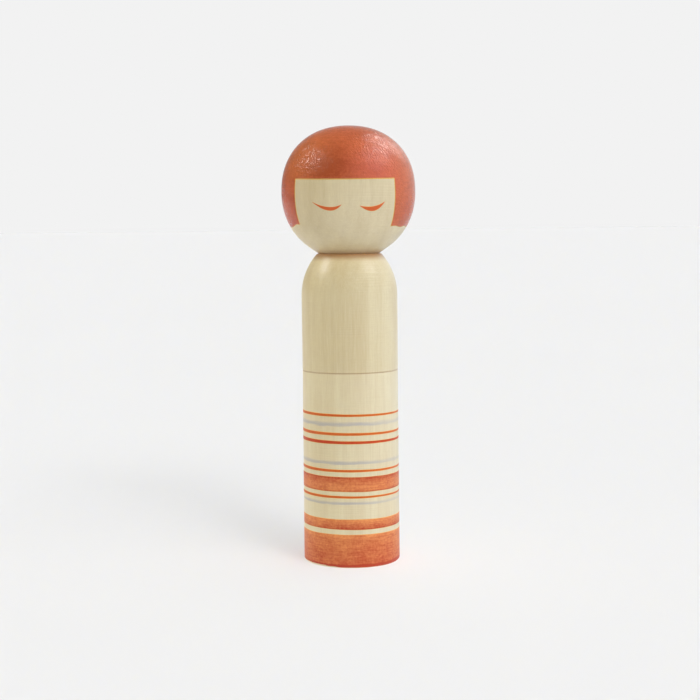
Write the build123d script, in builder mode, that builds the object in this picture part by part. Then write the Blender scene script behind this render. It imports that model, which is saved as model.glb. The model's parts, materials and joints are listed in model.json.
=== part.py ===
"""A slim turned kokeshi doll whose body pulls apart above the waist.

Every piece is turned on a lathe about the doll's own axis. The lower body is a deep cup
that ends in a spigot. The upper body slides over that spigot as a lid, flush on the
outside, and its shoulders carry the head. The head is a full ball, a little square in
the crown, glued to a dowel that turns in the upper body.

Millimetres. +Z is up and Z is the lathe's axis. The foot stands on Z = 0, and the painted
face looks along -Y. Each piece is written to parts/ as one STEP file, closed and at rest.
"""

import os
from math import cos, copysign, radians, sin

from build123d import *

# ---- driving dimensions ------------------------------------------------------------
height = 150.0  # foot to crown, five sun in round figures
head_radius = 22.95  # at the head's widest
body_radius = 16.5  # at the seam
seam_height = 66.4  # where the two halves of the body meet
neck_height = 106.4  # where the head sits on the shoulders
neck_radius = 11.1  # of the shoulders' top edge

# ---- head --------------------------------------------------------------------------
equator_height = 127.5  # of the head's widest ring
crown_exponent = 2.2  # of the superellipse above the equator, where 2 is an ellipse
jaw_exponent = 2.1  # of the superellipse below it
jaw_reach = 22.85  # how far below the equator that lower superellipse would close
jaw_angle = 54  # degrees below the equator at which the jaw turns straight
outline_step = 18  # degrees between the points of the head's outline
seat_radius = 10.4  # of the flat turned under the head
neck_edge = 0.6  # rounding of both edges that meet at the neck

# ---- body --------------------------------------------------------------------------
foot_swell = 0.15  # how much wider the body is at its foot than at the seam
shoulder_swell = 0.05  # and how much wider it is where the shoulders begin
shoulder_height = 92.0  # where the side starts to curve in towards the neck
foot_edge = 0.9  # rounding round the foot
seam_chamfer = 0.2  # on the edges that meet at the seam
dish_radius = 13.0  # of the shallow hollow turned under the foot, which leaves a ring
dish_depth = 0.8

# ---- the spigot joint at the seam ------------------------------------------------------
spigot_radius = 12.9
spigot_length = 13.0
spigot_lead = 0.6  # chamfer that guides the upper body on
slide_clearance = 0.05  # radial, of the upper body round the spigot
socket_spare = 0.6  # room left above the spigot when the halves are closed

# ---- the storage well and the hollow above it -------------------------------------------
well_radius = 10.4
well_floor = 7.0  # height of the well's floor above the table
hollow_ceiling = 90.0  # height of the hollow's end, inside the closed upper body
tool_radius = 2.5  # the round corner that the boring tool leaves
mouth_edge = 0.5  # rounding of the well's lip

# ---- the neck dowel ----------------------------------------------------------------------
dowel_radius = 4.5
dowel_in_body = 11.0
dowel_in_head = 12.5
dowel_chamfer = 0.6
turning_clearance = 0.05  # radial, of the dowel in the upper body
blind_spare = 0.5  # left beyond each end of the dowel

foot_radius = body_radius + foot_swell
shoulder_radius = body_radius + shoulder_swell
spigot_top = seam_height + spigot_length
socket_top = spigot_top + socket_spare


def head_outline(angle):
    """The head's outline at an angle in degrees, from the equator up or, negative, down."""
    if angle >= 0:
        exponent, reach = crown_exponent, height - equator_height
    else:
        exponent, reach = jaw_exponent, jaw_reach
    across = max(cos(radians(angle)), 0.0) ** (2 / exponent)
    up = copysign(abs(sin(radians(angle))) ** (2 / exponent), angle)
    return Vector(head_radius * across, equator_height + reach * up)


def rings(part, level):
    """The round edges of a part at one height, from the narrowest to the widest."""
    circles = part.edges().filter_by(GeomType.CIRCLE)
    at_level = circles.filter_by(lambda ring: abs(ring.arc_center.Z - level) < 0.01)
    return at_level.sort_by(lambda ring: ring.radius)


# ---- lower body: a deep cup with a spigot --------------------------------------------
with BuildPart() as lower_body:
    with BuildSketch(Plane.XZ):
        with BuildLine():
            Polyline(
                (0, 0),
                (foot_radius, 0),
                (body_radius, seam_height),
                (spigot_radius, seam_height),
                (spigot_radius, spigot_top),
                (0, spigot_top),
                close=True,
            )
        make_face()
    revolve(axis=Axis.Z)
    fillet(rings(lower_body, 0)[-1], foot_edge)
    chamfer(rings(lower_body, seam_height)[-1], seam_chamfer)
    chamfer(rings(lower_body, spigot_top)[-1], spigot_lead)
    with Locations((0, 0, spigot_top)):
        Hole(well_radius, depth=spigot_top - well_floor)
    fillet(rings(lower_body, spigot_top)[0], mouth_edge)
    fillet(rings(lower_body, well_floor)[0], tool_radius)
    # the hollow under the foot is a very flat cone
    with BuildSketch(Plane.XZ):
        with BuildLine():
            Polyline((0, 0), (dish_radius, 0), (0, dish_depth), close=True)
        make_face()
    revolve(axis=Axis.Z, mode=Mode.SUBTRACT)
lower_body.part.label = "lower_body"

# ---- upper body: the lid, with round shoulders ------------------------------------------
with BuildPart() as upper_body:
    with BuildSketch(Plane.XZ):
        with BuildLine():
            Line((0, seam_height), (body_radius, seam_height))
            side = Line((body_radius, seam_height), (shoulder_radius, shoulder_height))
            TangentArc(side @ 1, (neck_radius, neck_height), tangent=side % 1)
            Line((neck_radius, neck_height), (0, neck_height))
            Line((0, neck_height), (0, seam_height))
        make_face()
    revolve(axis=Axis.Z)
    fillet(rings(upper_body, neck_height)[0], neck_edge)
    chamfer(rings(upper_body, seam_height)[0], seam_chamfer)
    # the socket that takes the spigot, with the narrower hollow above it
    with BuildSketch(Plane.XY.offset(seam_height)):
        Circle(spigot_radius + slide_clearance)
    extrude(amount=socket_top - seam_height, mode=Mode.SUBTRACT)
    with BuildSketch(Plane.XY.offset(socket_top)):
        Circle(well_radius)
    extrude(amount=hollow_ceiling - socket_top, mode=Mode.SUBTRACT)
    chamfer(rings(upper_body, seam_height)[0], seam_chamfer)
    fillet(rings(upper_body, hollow_ceiling)[0], tool_radius)
    # the blind hole that the neck dowel turns in
    with Locations((0, 0, neck_height)):
        Hole(dowel_radius + turning_clearance, depth=dowel_in_body + blind_spare)
upper_body.part.label = "upper_body"

# ---- head: a full ball, flat where it sits on the neck -----------------------------------
with BuildPart() as head:
    with BuildSketch(Plane.XZ):
        with BuildLine():
            outline = [head_outline(angle) for angle in range(90, -jaw_angle - 1, -outline_step)]
            seat = Vector(seat_radius, neck_height)
            Spline(*outline, tangents=[(1, 0), seat - outline[-1]])
            Polyline(outline[-1], seat, (0, neck_height), outline[0])
        make_face()
    revolve(axis=Axis.Z)
    fillet(rings(head, neck_height)[0], neck_edge)
    with BuildSketch(Plane.XY.offset(neck_height)):
        Circle(dowel_radius)
    extrude(amount=dowel_in_head + blind_spare, mode=Mode.SUBTRACT)
head.part.label = "head"

# ---- neck dowel: glued into the head, turning in the upper body ----------------------------
with BuildPart() as neck_dowel:
    with BuildSketch(Plane.XY.offset(neck_height - dowel_in_body)):
        Circle(dowel_radius)
    extrude(amount=dowel_in_body + dowel_in_head)
    chamfer(neck_dowel.edges().filter_by(GeomType.CIRCLE), dowel_chamfer)
neck_dowel.part.label = "neck_dowel"

os.makedirs("parts", exist_ok=True)
for piece in (lower_body, upper_body, head, neck_dowel):
    export_step(piece.part, f"parts/{piece.part.label}.step")
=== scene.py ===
"""The looks of a turned kokeshi doll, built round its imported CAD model.

Each wooden piece is turned afresh as a fine lathe mesh that stands for its CAD node. The
paint on it, hair, eyes and rings, is made as thin films that lie on the wood and ride with
it. The wood is a solid grain that runs through every piece and shows through the paint.
Metres, in the CAD model's own frame: +Z is up and the painted face looks along -Y.
"""

import json
from math import asin, copysign, cos, pi, radians, sin

import bpy
import numpy as np
from mathutils import Matrix, Vector, noise


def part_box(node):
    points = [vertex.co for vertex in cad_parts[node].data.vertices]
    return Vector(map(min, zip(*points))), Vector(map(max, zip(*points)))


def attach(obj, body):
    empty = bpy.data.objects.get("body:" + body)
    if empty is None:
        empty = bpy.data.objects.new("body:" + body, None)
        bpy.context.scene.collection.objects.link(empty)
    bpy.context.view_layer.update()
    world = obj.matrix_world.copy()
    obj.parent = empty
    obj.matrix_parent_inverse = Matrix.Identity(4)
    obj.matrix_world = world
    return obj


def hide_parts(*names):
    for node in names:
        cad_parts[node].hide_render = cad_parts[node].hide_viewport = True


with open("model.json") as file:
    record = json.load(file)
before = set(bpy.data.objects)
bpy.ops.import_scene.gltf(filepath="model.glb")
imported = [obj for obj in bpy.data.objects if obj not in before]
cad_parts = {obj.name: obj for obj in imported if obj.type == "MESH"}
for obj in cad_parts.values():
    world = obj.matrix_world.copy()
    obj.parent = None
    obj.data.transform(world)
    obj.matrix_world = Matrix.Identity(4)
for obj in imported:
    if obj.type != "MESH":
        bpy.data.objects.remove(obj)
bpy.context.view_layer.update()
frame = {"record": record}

MM = 0.001

# ---- sizes read from the frame ---------------------------------------------------------
foot_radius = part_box("lower_body")[1].x
spigot_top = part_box("lower_body")[1].z
seam_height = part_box("upper_body")[0].z
neck_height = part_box("head")[0].z
head_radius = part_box("head")[1].x
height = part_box("head")[1].z
dowel_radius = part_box("neck_dowel")[1].x
dowel_low, dowel_high = (corner.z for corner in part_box("neck_dowel"))

# ---- sizes that no box gives, the same as in the CAD model -------------------------------
body_radius = foot_radius - 0.15 * MM
shoulder_radius = body_radius + 0.05 * MM
shoulder_height = 92.0 * MM
neck_radius = 11.1 * MM
neck_edge = 0.6 * MM
foot_edge = 0.9 * MM
seam_edge = 0.2 * MM
dish_radius = 13.0 * MM
dish_depth = 0.8 * MM
spigot_radius = 12.9 * MM
spigot_lead = 0.6 * MM
socket_radius = spigot_radius + 0.05 * MM
socket_top = spigot_top + 0.6 * MM
well_radius = 10.4 * MM
well_floor = 7.0 * MM
hollow_ceiling = 90.0 * MM
tool_radius = 2.5 * MM
mouth_edge = 0.5 * MM
dowel_edge = 0.6 * MM
dowel_hole_radius = dowel_radius + 0.05 * MM
blind_spare = 0.5 * MM
equator_height = 127.5 * MM
crown_exponent = 2.2
jaw_exponent = 2.1
jaw_reach = 22.85 * MM
jaw_angle = radians(54)
seat_radius = 10.4 * MM

# roundings of edges that the CAD model leaves sharp
foot_ring_edge = 0.3 * MM
socket_edge = 0.2 * MM
hole_edge = 0.15 * MM

# ---- fineness of the meshes ---------------------------------------------------------------
around = 216  # facets round the lathe's axis
longest_span = 0.9 * MM  # of an outline, along the piece
film_span = 0.3 * MM  # of the outline under a painted ring
arc_steps = 6  # of a rounded edge
shoulder_steps = 40
head_steps = 110
fringe_columns, bob_columns = 60, 170  # of the hair, across the face and round the rest
crown_rows, curtain_rows = 44, 36  # of the hair, above and below the fringe's height
stroke_steps, stroke_rows = 56, 8  # of an eye, along and across the stroke
contact_gap = 0.02 * MM  # left where two bodies rest on each other
nearby_turn = 0.001  # radians along the head's outline, for telling which way its surface faces

# ---- paint ----------------------------------------------------------------------------------
paint_lift = 0.03 * MM  # of a film's face above the wood
paint_edge_lift = 0.01 * MM  # and of its edge
paint_root = 0.08 * MM  # how far a film reaches into the wood, so that it has no gap
paint_bevel = 0.25 * MM  # width over which a film thins towards its edge

lines = {  # name: (height of the middle, width, colour)
    "ring_1": (52.23, 0.9, "orange"),
    "ring_2": (45.87, 1.0, "orange"),
    "ring_3": (43.03, 1.1, "red"),
    "ring_4": (33.38, 0.94, "orange"),
    "ring_5": (24.4, 0.86, "orange"),
}
bands = {  # name: (lower edge, upper edge)
    "band_upper": (26.17, 31.38),
    "band_middle": (13.2, 16.82),
    "band_foot": (0.12, 11.58),
}
washes = ((49.1, 1.5), (36.0, 1.25), (22.2, 1.0))  # grey lines: (height, width)
ring_slope = -0.0075  # of every ring and band, which lie a little lower on the +X side
line_wander, band_wander = 0.05 * MM, 0.07 * MM  # of their edges
line_dryness = 0.2  # share of its width that a thin ring loses on the +X side
first_band_seed = 20  # apart from the rings' own seeds, which count up from 0

face_left, face_right = radians(-50.5), radians(42.0)  # azimuths of the sides of the face
face_side_lean = radians(2.2)  # how far each side leans out by the end of the hair
fringe_height = 131.03 * MM
fringe_rise = 0.6 * MM  # for each square radian away from the middle of the face
fringe_rise_end = 0.8  # radians, beyond which the cut's height stays the same
fringe_wander = 0.03 * MM
bob_height = 115.45 * MM  # where the hair ends at the sides and the back
bob_wander = 0.22 * MM
bob_wave, bob_waves = 0.17 * MM, 17  # height of its even waves, and their number all round
bob_corner_rise, bob_corner_reach = 1.1 * MM, radians(26)  # at the left side of the face
stroke_end = 0.03  # mm that an eye's stroke keeps at its corners

eyes = {  # (degrees, mm): left corner, middle of the upper and the lower edge, right corner
    "eye_left": ((-32.2, 123.95), (-17.6, 122.2), (-16.9, 120.95), (-5.7, 122.95)),
    "eye_right": ((9.2, 122.5), (21.5, 122.3), (22.0, 120.7), (32.2, 123.9)),
}


# ---- outlines -------------------------------------------------------------------------------
def unit(vector):
    """A vector at length 1."""
    return vector / np.linalg.norm(vector)


def rounded(corners):
    """An outline through (radius, height, rounding) corners, each corner turned into an arc."""
    points = []
    for i, (across, up, rounding) in enumerate(corners):
        corner = np.array((across, up))
        if not rounding:
            points.append(corner)
            continue
        back = unit(np.array(corners[i - 1][:2]) - corner)
        ahead = unit(np.array(corners[i + 1][:2]) - corner)
        half = np.arccos(np.clip(back @ ahead, -1, 1)) / 2
        centre = corner + unit(back + ahead) * rounding / np.sin(half)
        start = corner + back * rounding / np.tan(half) - centre
        end = corner + ahead * rounding / np.tan(half) - centre
        sweep = pi - 2 * half
        for share in np.linspace(0, 1, arc_steps + 1):
            weights = np.sin((1 - share) * sweep), np.sin(share * sweep)
            points.append(centre + (weights[0] * start + weights[1] * end) / np.sin(sweep))
    return np.array(points)


def refined(outline, span=longest_span):
    """The outline with its long straight runs divided, so that no run is longer than span."""
    points = [outline[0]]
    for start, end in zip(outline, outline[1:]):
        runs = max(1, int(np.ceil(np.linalg.norm(end - start) / span)))
        points += [start + (end - start) * run / runs for run in range(1, runs + 1)]
    return np.array(points)


def tangent_arc(start, end, steps):
    """An arc from start to end, (radius, height) points, that leaves start straight upwards."""
    across, up = start[0] - end[0], end[1] - start[1]
    bend = (across**2 + up**2) / (2 * across)
    sweep = np.linspace(0, np.arcsin(up / bend), steps + 1)
    return np.column_stack((start[0] - bend * (1 - np.cos(sweep)), start[1] + bend * np.sin(sweep)))


def head_outline(angle):
    """A point of the head's outline, by its angle from the equator up or, negative, down."""
    if angle >= 0:
        exponent, reach = crown_exponent, height - equator_height
    else:
        exponent, reach = jaw_exponent, jaw_reach
    across = max(cos(angle), 0.0) ** (2 / exponent)
    up = copysign(abs(sin(angle)) ** (2 / exponent), angle)
    return np.array((head_radius * across, equator_height + reach * up))


def head_angle(level):
    """The outline's angle at a height on the head, the inverse of head_outline."""
    if level >= equator_height:
        share = min((level - equator_height) / (height - equator_height), 1.0)
        return asin(share ** (crown_exponent / 2))
    share = (equator_height - level) / jaw_reach
    return -asin(share ** (jaw_exponent / 2))


def body_radius_at(level):
    """The lower body's outside radius at a height."""
    return foot_radius + (body_radius - foot_radius) * level / seam_height


def outward(outline):
    """The outline's normals, to the right of its direction: away from the wood."""
    along = np.gradient(outline, axis=0)
    along /= np.linalg.norm(along, axis=1)[:, None]
    return np.column_stack((along[:, 1], -along[:, 0]))


# ---- meshes -----------------------------------------------------------------------------------
def piece(name, points, faces):
    """A smooth-shaded mesh object in the scene."""
    mesh = bpy.data.meshes.new(name)
    mesh.from_pydata([tuple(point) for point in points], [], faces)
    mesh.validate()
    mesh.shade_smooth()
    made = bpy.data.objects.new(name, mesh)
    bpy.context.scene.collection.objects.link(made)
    return made


def covered(made, cover):
    """Stores how much paint lies at each point of a film: 0 at its edge and 1 inside."""
    made.data.attributes.new("cover", "FLOAT", "POINT").data.foreach_set("value", cover)
    return made


def azimuth_point(azimuth, across, up):
    """A point by its azimuth, which is 0 at the face and grows towards +X."""
    return (across * sin(azimuth), -across * cos(azimuth), up)


def turned(name, outline):
    """A piece turned from an outline that starts and ends on the axis, with the wood on its left."""
    inner = outline[1:-1]
    turns = [2 * pi * step / around for step in range(around)]
    points = [azimuth_point(turn, across, up) for across, up in inner for turn in turns]
    points += [(0, 0, outline[0][1]), (0, 0, outline[-1][1])]
    first_pole, last_pole = len(points) - 2, len(points) - 1
    top_row = (len(inner) - 1) * around
    faces = []
    for here in range(around):
        beside = (here + 1) % around
        faces.append((first_pole, beside, here))
        faces.append((last_pole, top_row + here, top_row + beside))
        for row in range(0, top_row, around):
            faces.append((row + here, row + beside, row + around + beside, row + around + here))
    return piece(name, points, faces)


def woodwork():
    """The four wooden pieces, by the CAD node that each stands for."""
    lower = rounded(
        [
            (0, dish_depth, 0),
            (dish_radius, 0, foot_ring_edge),
            (foot_radius, 0, foot_edge),
            (body_radius, seam_height, seam_edge),
            (spigot_radius, seam_height, 0),
            (spigot_radius, spigot_top, spigot_lead),
            (well_radius, spigot_top, mouth_edge),
            (well_radius, well_floor, tool_radius),
            (0, well_floor, 0),
        ]
    )
    seam = seam_height + contact_gap
    shoulder_start, shoulder_end = (shoulder_radius, shoulder_height), (neck_radius, neck_height)
    shoulder = tangent_arc(shoulder_start, shoulder_end, shoulder_steps)
    upper = rounded(
        [
            (0, hollow_ceiling, 0),
            (well_radius, hollow_ceiling, tool_radius),
            (well_radius, socket_top, socket_edge),
            (socket_radius, socket_top, 0),
            (socket_radius, seam, seam_edge),
            (body_radius, seam, seam_edge),
            *((across, up, 0) for across, up in shoulder[:-1]),
            (neck_radius, neck_height, neck_edge),
            (dowel_hole_radius, neck_height, hole_edge),
            (dowel_hole_radius, dowel_low - blind_spare, 0),
            (0, dowel_low - blind_spare, 0),
        ]
    )
    seat = neck_height + contact_gap
    ball = [head_outline(angle) for angle in np.linspace(-jaw_angle, pi / 2, head_steps)]
    head = rounded(
        [
            (0, dowel_high + blind_spare, 0),
            (dowel_radius, dowel_high + blind_spare, 0),
            (dowel_radius, seat, hole_edge),
            (seat_radius, seat, neck_edge),
            *((across, up, 0) for across, up in ball[:-1]),
            (0, height, 0),
        ]
    )
    dowel = rounded(
        [
            (0, dowel_low, 0),
            (dowel_radius, dowel_low, dowel_edge),
            (dowel_radius, dowel_high, dowel_edge),
            (0, dowel_high, 0),
        ]
    )
    return {
        "lower_body": turned("lower_body_wood", refined(lower)),
        "upper_body": turned("upper_body_wood", refined(upper)),
        "head": turned("head_wood", refined(head)),
        "neck_dowel": turned("neck_dowel_wood", refined(dowel)),
    }


# ---- painted films --------------------------------------------------------------------------
def sway(azimuth, seed, size):
    """A hand's small wander, of about the given size, that closes on itself round the doll."""
    slow, quicker, apart = 2.2, 3.1, 7.3
    spot = Vector((slow * cos(azimuth), slow * sin(azimuth), apart * seed))
    return size * (noise.noise(spot) + 0.5 * noise.noise(spot * quicker))


def painted_ring(name, low, high, seed, wander, dry=0.0):
    """A film round the lower body from one height to another, a closed band with thin edges.

    It is narrower on the +X side, where the brush ran dry, and wider on the other, by the
    share dry. Both edges wander by about the given size.
    """
    side = refined(
        rounded(
            [
                (dish_radius + MM, 0, 0),
                (foot_radius, 0, foot_edge),
                (body_radius_at(high + MM), high + MM, 0),
            ]
        ),
        film_span,
    )
    heights = side[:, 1]
    width = high - low
    bevel = min(paint_bevel, width / 3)
    inside = [level for level in heights if low + bevel < level < high - bevel]
    levels = [low, low + bevel / 2, low + bevel, *inside, high - bevel, high - bevel / 2, high]
    radii = np.interp(levels, heights[arc_steps // 2 :], side[arc_steps // 2 :, 0])
    face = np.column_stack((radii, levels))
    normals = outward(face)
    points, faces, cover = [], [], []
    for step in range(around):
        turn = 2 * pi * step / around
        fuller = dry * width / 2 * sin(turn)
        aslant = ring_slope * body_radius * sin(turn)
        edges = (sway(turn, seed, wander) + fuller, sway(turn, seed + 0.5, wander) - fuller)
        shift = aslant + np.interp(levels, (low, high), edges)
        moved = face + np.column_stack((np.zeros(len(levels)), shift))
        depth = np.minimum(np.array(levels) - low, high - np.array(levels)) / bevel
        lift = paint_edge_lift + (paint_lift - paint_edge_lift) * np.clip(depth, 0, 1)
        top = moved + normals * lift[:, None]
        loop = [moved[0] - normals[0] * paint_root, *top, moved[-1] - normals[-1] * paint_root]
        points += [azimuth_point(turn, across, up) for across, up in loop]
        cover += [0, *np.clip(depth, 0, 1), 0]
    count = len(levels) + 2
    for step in range(around):
        here, beside = step * count, (step + 1) % around * count
        for row in range(count):
            above = (row + 1) % count
            faces.append((here + row, beside + row, beside + above, here + above))
    return covered(piece(name, points, faces), cover)


def on_head(azimuth, level, lift):
    """A point above the head's surface by an azimuth, a height and a lift."""
    angle = head_angle(level)
    nearby = [head_outline(angle + turn) for turn in (-nearby_turn, 0, nearby_turn)]
    normal = outward(np.array(nearby))[1]
    across, up = nearby[1] + normal * lift
    return azimuth_point(azimuth, across, up)


def fringe_level(azimuth):
    """The height of the hair's straight cut above the face."""
    rise = fringe_rise * min(abs(azimuth), fringe_rise_end) ** 2
    return fringe_height + rise + sway(azimuth, 3, fringe_wander)


def bob_level(azimuth):
    """The height of the hair's lower edge, painted by hand and a little uneven."""
    from_corner = azimuth - (face_left + 2 * pi)
    corner_lift = bob_corner_rise * max(0.0, 1 + from_corner / bob_corner_reach)
    waves = sway(azimuth, 5, bob_wander) + bob_wave * sin(bob_waves * azimuth)
    return bob_height + corner_lift + waves


def painted_hair():
    """The bobbed hair: a cap down to the fringe, and a curtain round the sides and the back."""
    fringe = np.linspace(face_left, face_right, fringe_columns)
    back = np.linspace(face_right, face_left + 2 * pi, bob_columns)
    turns = [*fringe[:-1], *back[:-1]]
    points = [(0, 0, height + paint_lift)]
    for row in range(1, crown_rows + 1):
        share = row / crown_rows
        for turn in turns:
            end = head_angle(fringe_level(turn))
            level = head_outline(pi / 2 + (end - pi / 2) * share)[1]
            points.append((turn, level))
    first_curtain = len(points)
    for row in range(1, curtain_rows + 1):
        share = row / curtain_rows
        for turn in back:
            top, bottom = fringe_level(turn), bob_level(turn)
            level = top + (bottom - top) * share
            # the sides of the face lean out a little towards the jaw
            lean = face_side_lean * share**2
            from_right = (turn - face_right) / (back[-1] - face_right)
            points.append((turn + lean * (1 - 2 * from_right), level))
    columns, width = len(turns), len(back)
    faces = []
    for here in range(columns):
        beside = (here + 1) % columns
        faces.append((0, 1 + here, 1 + beside))
        for row in range(crown_rows - 1):
            a = 1 + row * columns
            faces.append((a + here, a + columns + here, a + columns + beside, a + beside))
    last_crown = 1 + (crown_rows - 1) * columns
    for here in range(width - 1):
        left = last_crown + (len(fringe) - 1 + here) % columns
        right = last_crown + (len(fringe) + here) % columns
        below = first_curtain + here
        faces.append((left, below, below + 1, right))
        for row in range(curtain_rows - 1):
            a = first_curtain + row * width + here
            faces.append((a, a + width, a + width + 1, a + 1))
    return film("hair", points, faces)


def film(name, points, faces):
    """A film on the head from (azimuth, level) points: thin at its edge, and rooted in the wood."""
    use = {}
    for face in faces:
        for a, b in zip(face, face[1:] + face[:1]):
            use[frozenset((a, b))] = use.get(frozenset((a, b)), 0) + 1
    edge = {corner for pair, count in use.items() if count == 1 for corner in pair}
    lifted, rooted = [], []
    for i, point in enumerate(points):
        if len(point) == 3:
            lifted.append(point)
            rooted.append((point[0], point[1], point[2] - paint_lift - paint_root))
            continue
        lifted.append(on_head(*point, paint_edge_lift if i in edge else paint_lift))
        rooted.append(on_head(*point, -paint_root))
    count = len(points)
    under = [tuple(count + corner for corner in reversed(face)) for face in faces]
    rim = []
    for face in faces:
        for a, b in zip(face, face[1:] + face[:1]):
            if use[frozenset((a, b))] == 1:
                rim.append((b, a, count + a, count + b))
    made = piece(name, lifted + rooted, faces + under + rim)
    return covered(made, [float(i not in edge) for i in range(count)] * 2)


def bow(start, middle, end, share):
    """A point of the parabola that runs from start through middle to end."""
    start, middle, end = np.array(start), np.array(middle), np.array(end)
    pull = 2 * middle - (start + end) / 2
    return (1 - share) ** 2 * start + 2 * share * (1 - share) * pull + share**2 * end


def painted_eye(name, left, above, below, right):
    """A closed eye: one brush stroke between two bows, with corners in (degrees, mm)."""
    points, faces = [], []
    for i in range(stroke_steps + 1):
        upper = bow(left, above, right, i / stroke_steps)
        lower = bow(left, below, right, i / stroke_steps)
        lower[1] -= stroke_end
        for j in range(stroke_rows + 1):
            azimuth, level = upper + (lower - upper) * j / stroke_rows
            points.append((radians(azimuth), level * MM))
    for i in range(stroke_steps):
        for j in range(stroke_rows):
            a = i * (stroke_rows + 1) + j
            faces.append((a, a + 1, a + stroke_rows + 2, a + stroke_rows + 1))
    return film(name, points, faces)


# ---- shader nodes ------------------------------------------------------------------------------
def node(tree, kind, inputs, **settings):
    """Adds a shader node; each input is a value or another node's output socket."""
    made = tree.nodes.new("ShaderNode" + kind)
    for key, value in settings.items():
        setattr(made, key, value)
    for key, value in inputs.items():
        if isinstance(value, bpy.types.NodeSocket):
            tree.links.new(value, made.inputs[key])
        else:
            made.inputs[key].default_value = value
    return made


def maths(tree, operation, *values, clamp=False):
    """A Math node's result."""
    inputs = dict(enumerate(values))
    return node(tree, "Math", inputs, operation=operation, use_clamp=clamp).outputs[0]


def vectors(tree, operation, *values):
    """A VectorMath node, of which the caller takes the Vector or the Value."""
    return node(tree, "VectorMath", dict(enumerate(values)), operation=operation).outputs


def ranged(tree, value, low, high, to_low=0.0, to_high=1.0):
    """A value eased from one range to another, and held at its ends."""
    inputs = {0: value, 1: low, 2: high, 3: to_low, 4: to_high}
    return node(tree, "MapRange", inputs, interpolation_type="SMOOTHSTEP").outputs[0]


def mixed(tree, share, first, second):
    """Two colours mixed by a share."""
    inputs = {0: share, 6: first, 7: second}
    return node(tree, "Mix", inputs, data_type="RGBA").outputs[2]


def stretched(tree, place, scales):
    """Coordinates multiplied by one scale for each axis."""
    return vectors(tree, "MULTIPLY", place, scales)["Vector"]


patterns = {  # of noise: (features per millimetre along x, y and z, octaves, their roughness)
    "ring_warp": ((0.045, 0.045, 0.01), 2, 0.55),
    "fibre": ((1.3, 1.3, 0.03), 5, 0.6),
    "fine_fibre": ((5.0, 5.0, 0.18), 3, 0.6),
    "broad_patches": ((0.1, 0.1, 0.02), 2, 0.55),
    "tool_marks": ((0.5, 0.5, 2.6), 2, 0.55),
    "flecks": ((3.5, 3.5, 0.5), 1, 0.55),
    "turned_relief": ((0.05, 0.05, 2.2), 2, 0.55),
    "wash_edge": ((0.2, 0.2, 1.2), 3, 0.55),
    "brush_streaks": ((0.2, 0.2, 2.6), 3, 0.6),
    "pools": ((0.16, 0.16, 0.3), 3, 0.55),
    "mottling": ((1.2, 1.2, 1.2), 3, 0.6),
    "brush_hatching": ((0.35, 0.35, 3.0), 3, 0.65),
    "scratches": ((2.8, 1.8, 0.8), 1, 0.4),
}


def speckle(tree, place, pattern):
    """Noise with the features of one of the patterns; it is near one half on average."""
    scales, octaves, roughness = patterns[pattern]
    inputs = {
        "Vector": stretched(tree, place, scales),
        "Scale": 1.0,
        "Detail": octaves,
        "Roughness": roughness,
    }
    return node(tree, "TexNoise", inputs).outputs[0]


def new_material(name):
    """A material with its tree, its shader and the object's coordinates in millimetres."""
    material = bpy.data.materials.new(name)
    material.use_nodes = True
    tree = material.node_tree
    shader = tree.nodes["Principled BSDF"]
    place = stretched(tree, node(tree, "TexCoord", {}).outputs["Object"], (1 / MM,) * 3)
    return material, tree, shader, place


def rough_surface(tree, shader, height, distance):
    """Gives the shader a bump from a height socket, whose full range is distance in metres."""
    bump = node(tree, "Bump", {"Height": height, "Distance": distance})
    tree.links.new(bump.outputs[0], shader.inputs["Normal"])


def hue(red, green, blue):
    """A linear colour from the 0 to 255 values that a colour picker gives."""
    shares = [value / 255 for value in (red, green, blue)]
    linear = [s / 12.92 if s <= 0.04045 else ((s + 0.055) / 1.055) ** 2.4 for s in shares]
    return (*linear, 1.0)


def weighted(tree, parts):
    """The sum of (socket, weight) parts."""
    total = 0.0
    for socket, weight in parts:
        total = maths(tree, "MULTIPLY_ADD", socket, weight, total)
    return total


def height_of(tree, place):
    """The height above the table, in millimetres."""
    return node(tree, "SeparateXYZ", {0: place}).outputs[2]


def axis_distance(tree, place):
    """The distance from the doll's axis, in millimetres."""
    flat = stretched(tree, place, (1.0, 1.0, 0.0))
    return vectors(tree, "LENGTH", flat)["Value"]


def nearness(tree, place, centre, reach):
    """1 at a centre, falling softly to 0 at a distance of reach, in millimetres."""
    away = vectors(tree, "DISTANCE", place, centre)["Value"]
    return ranged(tree, away, 0.0, reach, 1.0, 0.0)


growth_ring = 3.4  # mm from one growth ring to the next
ring_warp = 8.0  # mm by which the rings stray from true circles
ring_taper = 0.015  # share of the height that counts as distance from the pith
ring_pale_from, ring_dark_from = 0.25, 0.3  # shares of a ring's width, from its dark start
grain_range = (0.3, 0.7)  # of a noise, from fully pale to fully dark
ring_depth, fibre_depth, fine_depth, broad_depth = 0.12, 0.2, 0.34, 0.44  # shares of the dark
tool_mark_range = (0.35, 0.65)
tool_mark_depth = 0.16  # share of the dark in the marks that the lathe tool leaves round a piece
fleck_range = (0.68, 0.78)
fleck_depth = 0.35


def fibres(tree, place):
    """Long vertical fibres and the finer ones between them, and the relief that they make."""
    fibre = speckle(tree, place, "fibre")
    fine = speckle(tree, place, "fine_fibre")
    return fibre, fine, weighted(tree, ((fibre, 0.5), (fine, 0.5)))


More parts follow.
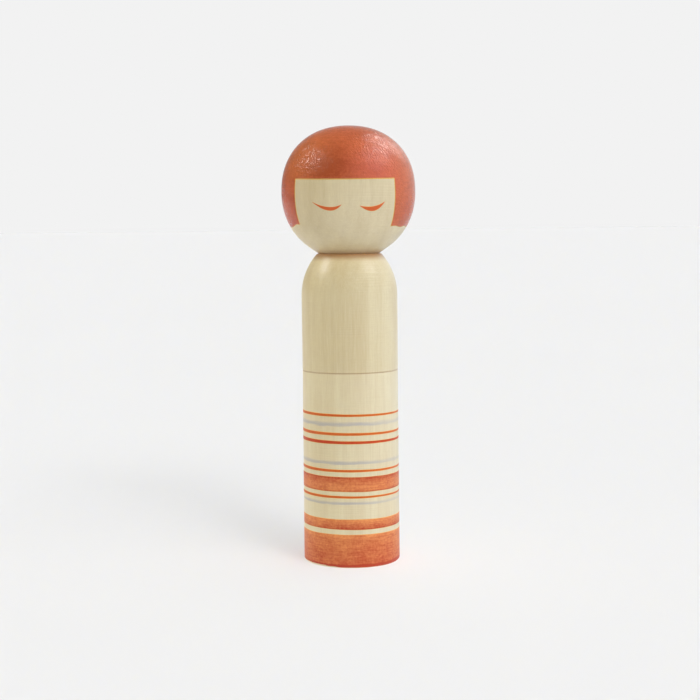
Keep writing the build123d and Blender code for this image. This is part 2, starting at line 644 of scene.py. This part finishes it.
def wood_grain(tree, place, pith, pale, dark):
    """Pale close-grained wood, with growth rings about a pith: its colour and its relief."""
    warp = speckle(tree, place, "ring_warp")
    from_pith = vectors(tree, "SUBTRACT", place, pith)["Vector"]
    flat = stretched(tree, from_pith, (1.0, 1.0, ring_taper))
    distance = weighted(tree, ((vectors(tree, "LENGTH", flat)["Value"], 1.0), (warp, ring_warp)))
    ring = maths(tree, "FRACT", maths(tree, "DIVIDE", distance, growth_ring))
    late = ranged(tree, ring, ring_dark_from, 1.0)
    early = ranged(tree, ring, 0.0, ring_pale_from, 1.0, 0.0)
    fibre, fine, relief = fibres(tree, place)
    broad = speckle(tree, place, "broad_patches")
    parts = (
        (maths(tree, "MAXIMUM", late, early), ring_depth),
        (ranged(tree, fibre, *grain_range), fibre_depth),
        (ranged(tree, fine, *grain_range), fine_depth),
        (ranged(tree, broad, *grain_range), broad_depth),
    )
    colour = mixed(tree, weighted(tree, parts), pale, dark)
    for pattern, span, depth in (
        ("tool_marks", tool_mark_range, tool_mark_depth),
        ("flecks", fleck_range, fleck_depth),
    ):
        marks = speckle(tree, place, pattern)
        colour = mixed(tree, ranged(tree, marks, *span, 0.0, depth), colour, dark)
    return colour, relief


piths = {  # where the pith of each piece's log lies, in mm from the doll's axis
    "lower_body": (64.0, 9.0, 0.0),
    "upper_body": (-58.0, 16.0, 0.0),
    "head": (70.0, 12.0, 0.0),
    "neck_dowel": (9.0, -4.0, 0.0),
}
grey_wash = hue(170, 166, 170)
wash_strength = 0.74  # share of the grey where a wash is at its fullest
wash_stray = 0.8  # how far a wash's edges may stray, in widths of the wash
wash_lower_edge = (-0.55, -0.07)  # from none to full, in widths above its middle
wash_upper_edge = (0.0, 0.87)  # from full to none
wash_fade_from, wash_fade_to = 2.0, 15.0  # mm along +X, between which a wash thins
wash_fade_share = 0.55  # share of it that is left beyond that
joint_grime_and_shade = hue(146, 96, 50)  # of wood at a joint: grime from fingers and dust, and painted shade in the crease there
joint_grime_and_painted_shade = {  # (height of the joint, reach of the darker wood and painted shade, its share of that colour)
    "lower_body": ((seam_height / MM, 0.4, 0.5),),
    "upper_body": ((seam_height / MM, 0.4, 0.5), (neck_height / MM, 2.8, 0.85)),
    "head": ((neck_height / MM, 2.2, 0.42),),
    "neck_dowel": (),
}
bare_roughness, waxed_roughness = 0.66, 0.26
relief_roughness = 0.16  # added where the fibres stand up
wood_specular = 0.5
wax_margin = 0.5  # mm over which the wax begins
wood_bump = 0.12 * MM  # height of the turned relief
fibre_height = 0.15  # of the fibres, as a share of that


def washed(tree, place, up, wash_fading, middle, width):
    """How much of a grey wash has soaked in: its upper edge is soft and its lower one crisper."""
    stray = maths(tree, "MULTIPLY", speckle(tree, place, "wash_edge"), wash_stray * width)
    level = middle + wash_stray * width / 2
    above = maths(tree, "SUBTRACT", maths(tree, "ADD", up, stray), level)
    lower_edge = [share * width for share in wash_lower_edge]
    upper_edge = [share * width for share in wash_upper_edge]
    soak = maths(
        tree,
        "MULTIPLY",
        ranged(tree, above, *lower_edge, 0.0, wash_strength),
        ranged(tree, above, *upper_edge, 1.0, 0.0),
    )
    return maths(tree, "MULTIPLY", soak, wash_fading)


def wood_material(cad_node, name, waxed_from, waxed_above, pale, dark, grey_lines=()):
    """Wood with grey lines and darker joints, grime and painted shade, bare but for a thin wax.

    The wax lies outside the radius waxed_from and above the height waxed_above, both in
    millimetres, and so are the grey lines' (height, width) pairs.
    """
    material, tree, shader, place = new_material(name)
    colour, relief = wood_grain(tree, place, piths[cad_node], pale, dark)
    across, _, up = node(tree, "SeparateXYZ", {0: place}).outputs
    # the grey washes grow paler towards +X
    wash_fading = ranged(tree, across, wash_fade_from, wash_fade_to, 1.0, wash_fade_share)
    for middle, width in grey_lines:
        soak = washed(tree, place, up, wash_fading, middle, width)
        colour = mixed(tree, soak, colour, grey_wash)
    # darken the wood near each joint: grime, and painted shade in the crease where the pieces meet
    for middle, reach, share in joint_grime_and_painted_shade[cad_node]:
        away = maths(tree, "ABSOLUTE", maths(tree, "SUBTRACT", up, middle))
        colour = mixed(tree, ranged(tree, away, 0.0, reach, share, 0.0), colour, joint_grime_and_shade)
    outside = ranged(tree, axis_distance(tree, place), waxed_from - wax_margin, waxed_from)
    over = ranged(tree, up, waxed_above, waxed_above + wax_margin)
    waxed = maths(tree, "MAXIMUM", outside, over)
    finish = ranged(tree, waxed, 0.0, 1.0, bare_roughness, waxed_roughness)
    tree.links.new(colour, shader.inputs["Base Color"])
    roughness = weighted(tree, ((relief, relief_roughness), (finish, 1.0)))
    tree.links.new(roughness, shader.inputs["Roughness"])
    shader.inputs["Specular IOR Level"].default_value = wood_specular
    turned_relief = speckle(tree, place, "turned_relief")
    surface = weighted(tree, ((relief, fibre_height), (turned_relief, 1.0)))
    rough_surface(tree, shader, surface, wood_bump)
    return material


def scratches(tree, place, lean):
    """Fine sanding scratches that lean to one side by an angle."""
    leaning = {"Vector": place, "Angle": lean}
    rotated = node(tree, "VectorRotate", leaning, rotation_type="Y_AXIS").outputs[0]
    return speckle(tree, rotated, "scratches")


thin = hue(236, 194, 98)  # of paint where it thins out at its edge
thin_until = 0.7  # the share of full cover at which that yellow tinge ends
thin_strength = 0.95
pooling, mottling, grain_showing = 0.7, 0.9, 0.4  # of each pattern in the paint's depth of colour
paint_specular = 0.35
hatch_roughness = 0.12  # added where the brush's hatching and the fibres stand up
paint_bump = 0.22 * MM  # the height that a pattern has at a full share
hatch_height = 0.1  # share for the hatching and the fibres
scratch_leans = (0.6, -0.7)  # radians, one way and the other


def toned(tree, place, tones, span):
    """A depth of colour that follows (share, depth) pairs from the lower to the upper of span."""
    low, high = span
    share = node(tree, "MapRange", {0: height_of(tree, place), 1: low, 2: high}).outputs[0]
    ramp = node(tree, "ValToRGB", {0: share})
    stops = ramp.color_ramp.elements
    while len(stops) < len(tones):
        stops.new(1.0)
    for stop, (at, tone) in zip(stops, tones):
        stop.position = at
        stop.color = (tone, tone, tone, 1)
    return ramp.outputs[0]


def paint_depth(tree, place, relief, streaks, even):
    """How deep the brush left the colour: ringed streaks, pools and mottling, with the grain."""
    parts = (
        (speckle(tree, place, "brush_streaks"), streaks),
        (speckle(tree, place, "pools"), pooling),
        (speckle(tree, place, "mottling"), mottling),
        (relief, grain_showing),
    )
    average = (streaks + pooling + mottling + grain_showing) / 2
    return maths(tree, "SUBTRACT", weighted(tree, parts), average - even)


def paint_material(
    name,
    deep,
    light,
    roughness,
    tones=None,
    span=None,
    patches=(),
    tints=(),
    scratched=0.0,
    streaks=0.9,
):
    """Thin brushed paint on a turned piece: ringed streaks, with the grain showing through.

    The paint's depth of colour is 0 where it is light and 1 where it is deep. It follows tones,
    (share, depth) pairs across the heights of span, or without them stays near one half. It
    deepens in patches, (centre, reach, depth). Tints, (centre, reach, colour, share), shift its
    hue in broad places.
    """
    material, tree, shader, place = new_material(name)
    relief = fibres(tree, place)[2]
    depth = paint_depth(tree, place, relief, streaks, 0.0 if tones else 0.5)
    if tones:
        depth = maths(tree, "ADD", depth, toned(tree, place, tones, span))
    for centre, reach, deepening in patches:
        near = nearness(tree, place, centre, reach)
        depth = maths(tree, "MULTIPLY_ADD", near, deepening, depth)
    colour = mixed(tree, maths(tree, "ADD", depth, 0.0, clamp=True), light, deep)
    for centre, reach, tint, share in tints:
        there = maths(tree, "MULTIPLY", nearness(tree, place, centre, reach), share)
        colour = mixed(tree, there, colour, tint)
    cover = node(tree, "Attribute", {}, attribute_name="cover").outputs["Fac"]
    colour = mixed(tree, ranged(tree, cover, 0.0, thin_until, thin_strength, 0.0), colour, thin)
    tree.links.new(colour, shader.inputs["Base Color"])
    hatch = weighted(tree, ((relief, 0.5), (speckle(tree, place, "brush_hatching"), 0.5)))
    uneven = maths(tree, "MULTIPLY_ADD", hatch, hatch_roughness, roughness)
    tree.links.new(uneven, shader.inputs["Roughness"])
    shader.inputs["Specular IOR Level"].default_value = paint_specular
    surface = [(hatch, hatch_height)]
    surface += [(scratches(tree, place, lean), scratched) for lean in scratch_leans]
    rough_surface(tree, shader, weighted(tree, surface), paint_bump)
    return material


# ---- the wooden pieces --------------------------------------------------------------------------
no_wax = 200.0  # mm, beyond every piece
# by CAD node: (name, waxed from this radius out and above this height, pale, dark, any washes)
woods = {
    "lower_body": ("lower_wood", 14.5, 90.5, hue(226, 216, 182), hue(209, 192, 155), washes),
    "upper_body": ("upper_wood", 14.5, 90.5, hue(219, 207, 171), hue(201, 183, 143)),
    "head": ("head_wood", 5.0, no_wax, hue(218, 205, 171), hue(198, 181, 144)),
    "neck_dowel": ("dowel_wood", no_wax, no_wax, hue(222, 196, 150), hue(186, 150, 102)),
}
body_of = {
    member: body
    for body, members in frame["record"]["behaviour"]["bodies"].items()
    for member in members
}

wood_of = {cad_node: wood_material(cad_node, *values) for cad_node, values in woods.items()}
for cad_node, made in woodwork().items():
    made.data.materials.append(wood_of[cad_node])
    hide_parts(cad_node)
    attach(made, body_of[cad_node])


# ---- the paint on them --------------------------------------------------------------------------
def put_on(made, cad_node, material):
    """Gives a painted film its material and makes it ride with the wood under it."""
    made.data.materials.append(material)
    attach(made, body_of[cad_node])


band_tones = {  # (share of the band's width, depth of colour), from its lower edge up
    "band_upper": ((0.0, 1.0), (0.1, 0.55), (0.3, 0.35), (0.6, 0.5), (0.85, 0.75), (1.0, 1.0)),
    "band_middle": ((0.0, 1.0), (0.15, 0.7), (0.6, 0.45), (1.0, 0.25)),
    "band_foot": ((0.0, 1.6), (0.07, 1.2), (0.12, 0.7), (0.5, 0.6), (0.85, 0.5), (1.0, 0.2)),
}
band_deep, band_light = hue(178, 64, 36), hue(230, 150, 88)
line_paint = {
    "red": paint_material("red_line_paint", hue(178, 50, 18), hue(200, 78, 34), 0.4),
    "orange": paint_material("orange_line_paint", hue(192, 78, 24), hue(212, 108, 44), 0.4),
}
hair_patches_and_painted_shade = (  # (centre, reach, depth), in mm
    ((-6.0, -21.0, 134.0), 15.0, 0.5),
    ((-16.0, -16.0, 124.0), 8.0, 0.25),
    # the two patches below are painted shade on the lower sides of the hair
    ((-24.0, -5.0, 120.0), 17.0, 0.75),
    ((23.0, -6.0, 120.0), 14.0, 0.4),
)
hair_tints_and_painted_sheen = (  # (centre, reach, colour, share)
    ((-17.0, -11.0, 140.0), 20.0, hue(182, 116, 56), 0.3),
    # a painted sheen: a pink glow to the right of the face's middle
    ((9.0, -19.0, 134.0), 14.0, hue(206, 98, 96), 0.3),
    # these two deepen the painted shade of the patches on the lower sides
    ((-24.0, -5.0, 120.0), 17.0, hue(204, 74, 28), 0.6),
    ((23.0, -6.0, 120.0), 13.0, hue(206, 84, 44), 0.5),
)
hair_paint = paint_material(
    "hair_paint",
    hue(160, 74, 43),
    hue(214, 113, 71),
    roughness=0.08,
    patches=hair_patches_and_painted_shade,
    tints=hair_tints_and_painted_sheen,
    scratched=0.75,
    streaks=0.5,
)
eye_paint = paint_material("eye_paint", hue(198, 84, 34), hue(208, 102, 48), 0.4)

for seed, (name, (middle, width, colour)) in enumerate(lines.items()):
    low, high = (middle - width / 2) * MM, (middle + width / 2) * MM
    made = painted_ring(name, low, high, seed, line_wander, line_dryness)
    put_on(made, "lower_body", line_paint[colour])
for seed, (name, (low, high)) in enumerate(bands.items(), first_band_seed):
    made = painted_ring(name, low * MM, high * MM, seed, band_wander)
    span = (low, high)
    paint = paint_material(name + "_paint", band_deep, band_light, 0.38, band_tones[name], span)
    put_on(made, "lower_body", paint)
put_on(painted_hair(), "head", hair_paint)
for name, stroke in eyes.items():
    put_on(painted_eye(name, *stroke), "head", eye_paint)

# ---- the stage: a pale floor and backdrop, and soft lamps ------------------------------------------
backdrop = hue(242, 242, 242)[0]
floor_glow = 0.2  # share of the floor's brightness that no shadow takes away
floor_colour = (0.632, 0.626, 0.62)  # brings the lit floor to the backdrop's brightness
floor_reach = 40.0  # metres, out of sight in every view
sky_brightness = 0.05  # for matt surfaces, the same from every side
room_dim, room_bright = 0.1, 0.9  # least and most brightness of the room that gloss mirrors
room_bright_side = Vector((0.75, 0.66, 0.0)).normalized()  # behind the doll and to its right
room_fade = (0.2, 0.7)  # sines of the heights between which the bright side fades
room_faded = 0.2  # share of that brightness higher up
lamps = {  # (azimuth, height and width in degrees, strength of each colour, casts a shadow)
    "key_left": (15, 33, 18, (0.09, 0.09, 0.09), True),
    "key": (28, 33, 18, (0.28, 0.28, 0.28), True),
    "key_right": (40, 33, 18, (0.12, 0.12, 0.12), True),
    "side_high": (55, 42, 18, (0.09, 0.09, 0.09), True),
    "side_low": (75, 27, 18, (0.05, 0.05, 0.05), True),
    "top_right": (100, 72, 50, (0.09, 0.09, 0.09), True),
    "top_back": (155, 62, 50, (0.1, 0.1, 0.1), True),
    "left_fill": (-120, 20, 60, (0.55, 0.56, 0.68), False),
    "left_rim": (-90, 20, 60, (0.18, 0.15, 0.01), False),
    "right_fill": (90, 20, 60, (0.2, 0.26, 0.4), False),
    "front_fill": (0, 10, 60, (0.055, 0.055, 0.055), False),
    "ceiling": (0, 90, 40, (0.21, 0.21, 0.18), False),
}
windows = {  # seen only in gloss: (azimuth, height, width and tallness in degrees, radiance)
    "tall_window": (135, 46, 5, 7, 78.0),
    "tall_window_low": (144, 26, 7, 14, 3.5),
    "side_window": (77, 46, 26, 18, 6.0),
    "left_window": (-87, 41, 2.5, 5, 200.0),
    "left_low_window": (-99, 34, 3, 4, 20.0),
}
window_distance = 1.6  # metres from the head
camera_lens, camera_back, camera_height = 74.6, -500.8 * MM, 116.0 * MM
camera_tip, camera_roll = radians(4.905), radians(-0.6)


def add_lamp(name, azimuth, elevation, width, strength, shadow):
    """A far lamp that only matt surfaces see, the same everywhere on the stage.

    The lamps that cast no shadow stand for light that a large pale room would scatter.
    """
    light = bpy.data.lights.new(name, "SUN")
    brightest = max(strength)
    light.energy = pi * brightest
    light.color = [share / brightest for share in strength]
    light.angle = radians(width)
    light.use_shadow = shadow
    light.cycles.use_multiple_importance_sampling = shadow
    azimuth, elevation = radians(azimuth), radians(elevation)
    towards = Vector(azimuth_point(azimuth, cos(elevation), sin(elevation)))
    lamp = bpy.data.objects.new(name, light)
    lamp.matrix_world = towards.to_track_quat("Z", "Y").to_matrix().to_4x4()
    lamp.visible_camera = False
    lamp.visible_glossy = False
    bpy.context.scene.collection.objects.link(lamp)


def add_window(name, azimuth, elevation, width, tallness, radiance):
    """A bright rectangle, far off and facing the head, that only glossy surfaces see."""
    azimuth, elevation = radians(azimuth), radians(elevation)
    away = Vector(azimuth_point(azimuth, cos(elevation), sin(elevation)))
    light = bpy.data.lights.new(name, "AREA")
    light.shape = "RECTANGLE"
    light.size = window_distance * radians(width)
    light.size_y = window_distance * radians(tallness)
    # an area lamp's radiance is a quarter of its watts for each square metre
    light.energy = 4 * radiance * light.size * light.size_y
    lamp = bpy.data.objects.new(name, light)
    place = Vector((0, 0, equator_height)) + away * window_distance
    lamp.matrix_world = Matrix.Translation(place) @ away.to_track_quat("Z", "Y").to_matrix().to_4x4()
    lamp.visible_camera = False
    lamp.visible_diffuse = False
    bpy.context.scene.collection.objects.link(lamp)


def add_sky():
    """A plain backdrop for the camera, a faint sky for matt surfaces and a dim room for gloss."""
    world = bpy.data.worlds.new("sky")
    bpy.context.scene.world = world
    world.use_nodes = True
    world.cycles.sampling_method = "NONE"
    tree = world.node_tree
    direction = node(tree, "TexCoord", {}).outputs["Generated"]
    side = vectors(tree, "DOT_PRODUCT", direction, room_bright_side)["Value"]
    low_down = ranged(tree, height_of(tree, direction), *room_fade, 1.0, room_faded)
    lit = maths(tree, "MULTIPLY", ranged(tree, side, 0.0, 1.0), low_down)
    room = node(tree, "MapRange", {0: lit, 3: room_dim, 4: room_bright}).outputs[0]
    ray = node(tree, "LightPath", {}).outputs
    colour = mixed(tree, ray["Is Diffuse Ray"], room, (sky_brightness,) * 3 + (1,))
    colour = mixed(tree, ray["Is Camera Ray"], colour, (backdrop, backdrop, backdrop, 1))
    tree.links.new(colour, tree.nodes["Background"].inputs["Color"])


def add_floor():
    """A matt floor that runs out of sight, and glows a little so that its shadows stay light."""
    corners = [(x, y, 0) for x, y in ((-1, -1), (1, -1), (1, 1), (-1, 1))]
    floor = piece("floor", [Vector(corner) * floor_reach for corner in corners], [(0, 1, 2, 3)])
    material = bpy.data.materials.new("floor_paper")
    material.use_nodes = True
    tree = material.node_tree
    shader = tree.nodes["Principled BSDF"]
    shader.inputs["Base Color"].default_value = (*floor_colour, 1)
    shader.inputs["Roughness"].default_value = 1.0
    shader.inputs["Specular IOR Level"].default_value = 0.0
    shader.inputs["Emission Color"].default_value = (1, 1, 1, 1)
    shader.inputs["Emission Strength"].default_value = floor_glow * backdrop
    floor.data.materials.append(material)


def add_camera():
    """A long lens near table height, tipped a little down and a touch clockwise."""
    camera = bpy.data.cameras.new("camera")
    camera.sensor_width = 36.0
    camera.lens = camera_lens
    holder = bpy.data.objects.new("camera", camera)
    turn = Matrix.Rotation(pi / 2 - camera_tip, 4, "X") @ Matrix.Rotation(camera_roll, 4, "Z")
    holder.matrix_world = Matrix.Translation((0, camera_back, camera_height)) @ turn
    bpy.context.scene.collection.objects.link(holder)
    bpy.context.scene.camera = holder


add_floor()
add_sky()
for name, values in lamps.items():
    add_lamp(name, *values)
for name, values in windows.items():
    add_window(name, *values)
add_camera()
bpy.context.scene.view_settings.view_transform = "Standard"
